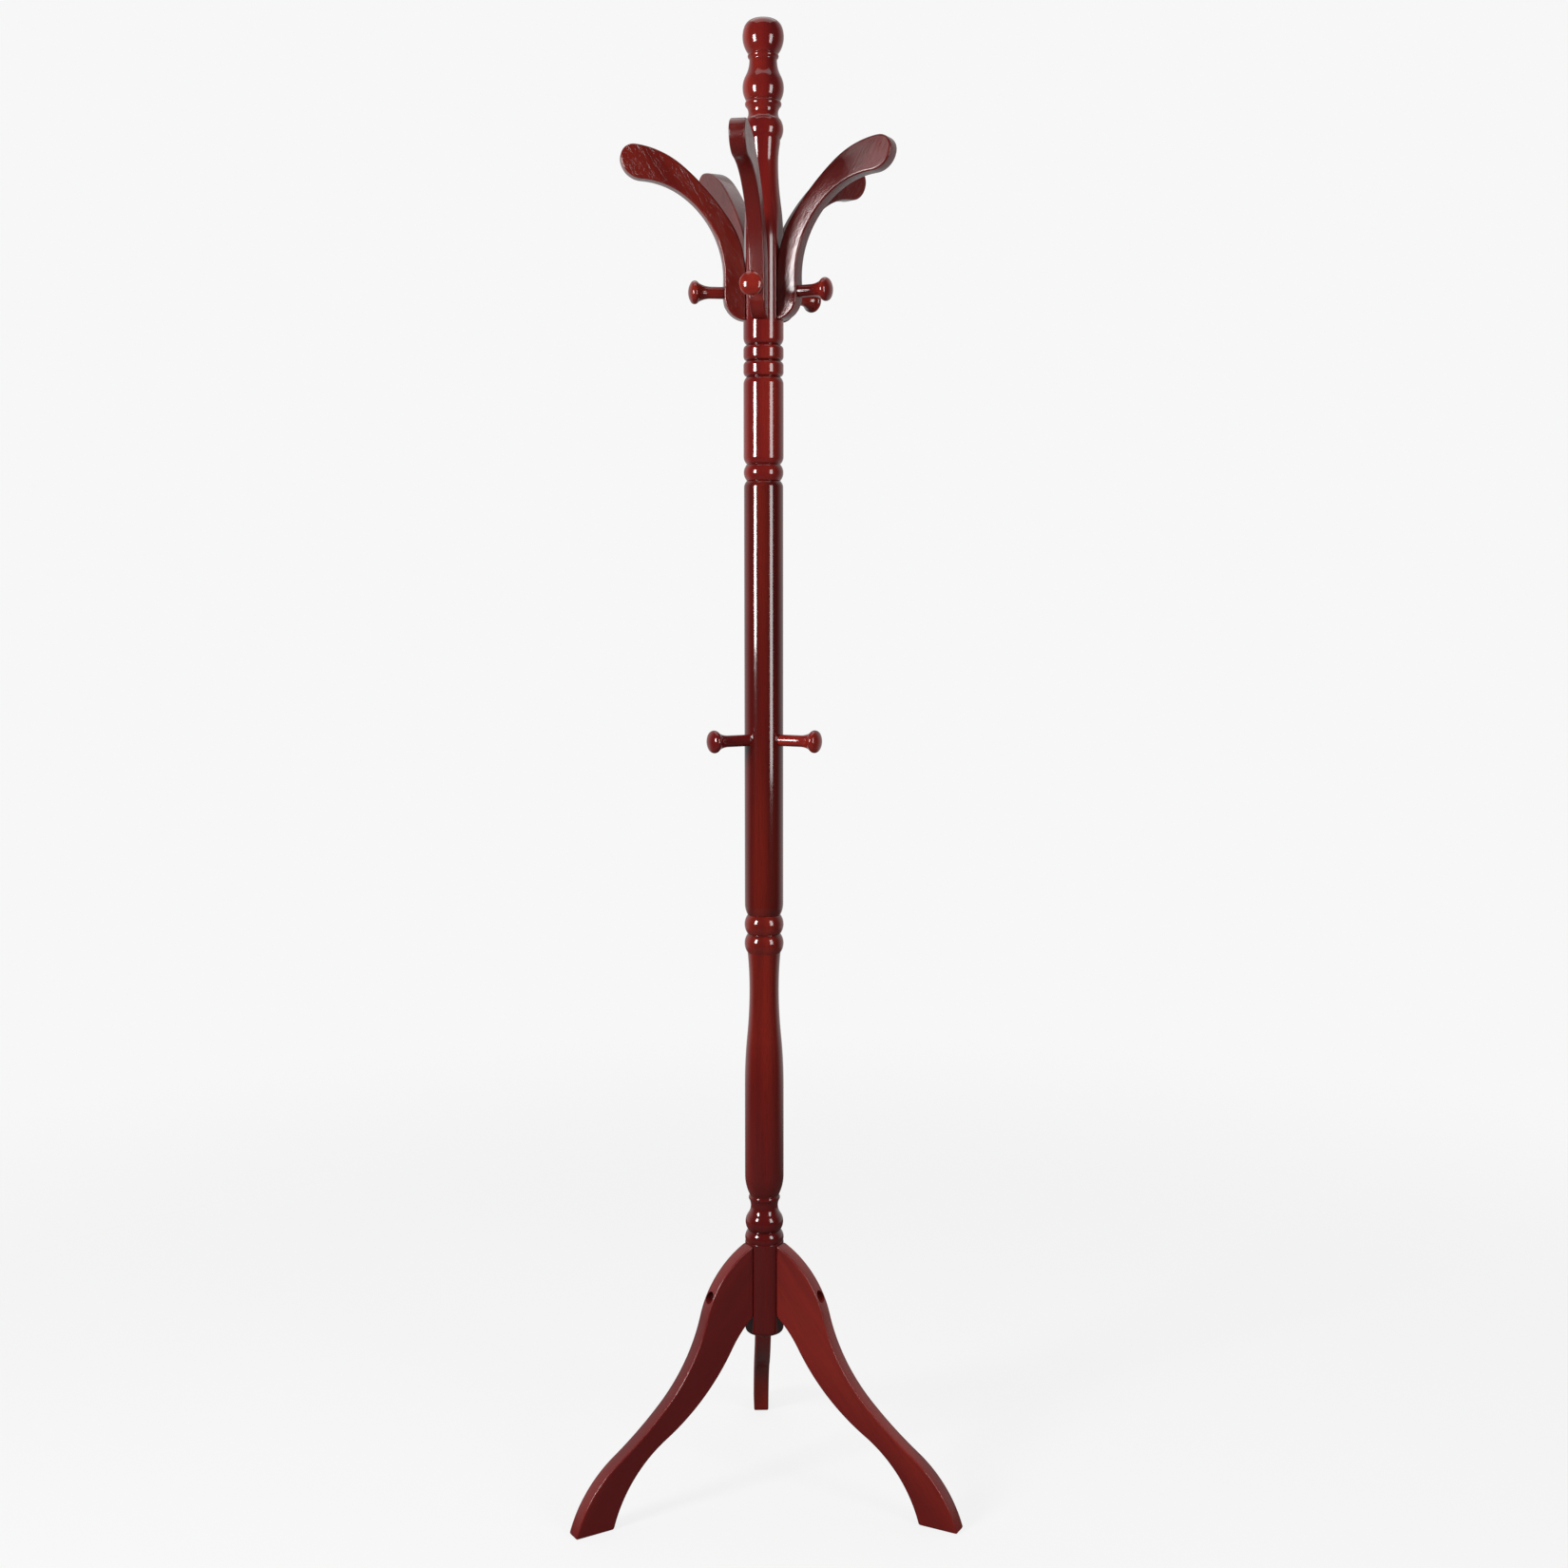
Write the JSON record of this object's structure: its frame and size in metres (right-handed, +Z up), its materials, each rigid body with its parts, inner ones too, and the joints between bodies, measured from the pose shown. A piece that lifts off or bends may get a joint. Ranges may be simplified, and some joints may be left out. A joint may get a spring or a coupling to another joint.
{
  "type": "standing coat rack",
  "caption": "Free-standing turned-wood coat rack with curved hanging arms and pegs around a jointed post on splayed scroll legs.",
  "frame": {"origin": "on the floor plane, where the post's axis meets it", "axes": "+Z up the post, +Y along one of the three legs, the other two legs to the front at 30 degrees either side of the X axis towards -Y"},
  "size_m": [0.4812, 0.4433, 1.8235],
  "materials": {
    "cherry_lacquer": "dark cherry stain under gloss lacquer",
    "beech": "raw",
    "zinc_steel": "zinc plated",
    "brass": "machined"
  },
  "bodies": {
    "root": {"finial": "cherry_lacquer", "upper_post": "cherry_lacquer", "middle_post": "cherry_lacquer", "lower_post": "cherry_lacquer", "arm_1": "cherry_lacquer", "arm_2": "cherry_lacquer", "arm_3": "cherry_lacquer", "arm_4": "cherry_lacquer", "arm_5": "cherry_lacquer", "arm_peg_1": "cherry_lacquer", "arm_peg_2": "cherry_lacquer", "arm_peg_3": "cherry_lacquer", "arm_peg_4": "cherry_lacquer", "arm_peg_5": "cherry_lacquer", "post_peg_1": "cherry_lacquer", "post_peg_2": "cherry_lacquer", "post_peg_3": "cherry_lacquer", "leg_1": "cherry_lacquer", "leg_2": "cherry_lacquer", "leg_3": "cherry_lacquer", "arm_dowels": "beech", "leg_dowels": "beech", "lower_joint_stud": "zinc_steel", "upper_joint_stud": "zinc_steel", "finial_stud": "zinc_steel", "arm_peg_studs": "zinc_steel", "post_peg_studs": "zinc_steel", "leg_washers": "zinc_steel", "leg_bolts": "zinc_steel", "lower_joint_insert": "brass", "upper_joint_insert": "brass", "finial_insert": "brass", "arm_inserts": "brass", "leg_inserts": "brass"}
  },
  "joints": []
}
